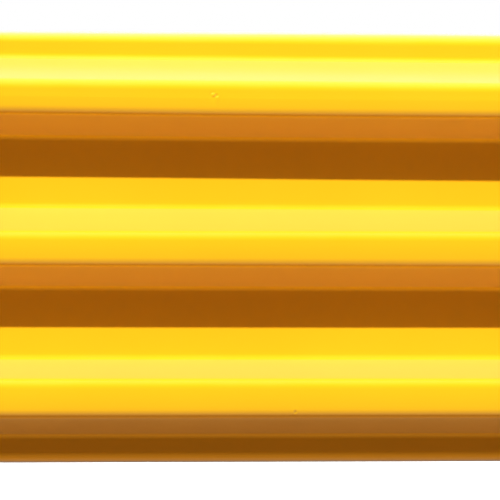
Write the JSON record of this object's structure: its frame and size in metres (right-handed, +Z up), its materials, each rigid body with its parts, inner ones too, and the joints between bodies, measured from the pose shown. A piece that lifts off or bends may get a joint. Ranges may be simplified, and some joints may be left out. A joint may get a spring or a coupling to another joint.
{
  "type": "steel guard rail bay",
  "caption": "Low guard rail bay: a ribbed, powder-coated steel rail that lifts out of pocket brackets bolted to square capped posts on drilled floor plates.",
  "frame": {"origin": "on the floor, midway between the two posts", "axes": "+X along the rail to the right-hand post as seen from the front, +Y to the back, +Z up; the rail's ribs stand out towards -Y"},
  "size_m": [1.4732, 0.254, 0.4572],
  "materials": {
    "yellow_powder_coat": "gloss safety-yellow powder coat with a slight orange peel",
    "zinc_plate": "bright zinc plate",
    "coated_nut_steel": "plain steel, inside the post",
    "cap_plastic": "textured black polyethylene"
  },
  "bodies": {
    "posts": {"post_left": "yellow_powder_coat", "base_plate_left": "yellow_powder_coat", "base_weld_left": "yellow_powder_coat", "post_cap_left": "cap_plastic", "post_nuts_left": "coated_nut_steel", "pocket_bracket_left": "yellow_powder_coat", "pocket_shelf_left": "yellow_powder_coat", "bracket_bolts_left": "zinc_plate", "bracket_washers_left": "zinc_plate", "post_right": "yellow_powder_coat", "base_plate_right": "yellow_powder_coat", "base_weld_right": "yellow_powder_coat", "post_cap_right": "cap_plastic", "post_nuts_right": "coated_nut_steel", "pocket_bracket_right": "yellow_powder_coat", "pocket_shelf_right": "yellow_powder_coat", "bracket_bolts_right": "zinc_plate", "bracket_washers_right": "zinc_plate"},
    "rail": {"corrugated_rail": "yellow_powder_coat", "rail_end_plate_left": "yellow_powder_coat", "rail_weld_left": "yellow_powder_coat", "rail_end_plate_right": "yellow_powder_coat", "rail_weld_right": "yellow_powder_coat"}
  },
  "joints": [
    {"name": "rail_lift", "type": "slide", "parent": "posts", "child": "rail", "axis": [0, 0, 1], "range_m": [0, 0.35]}
  ]
}
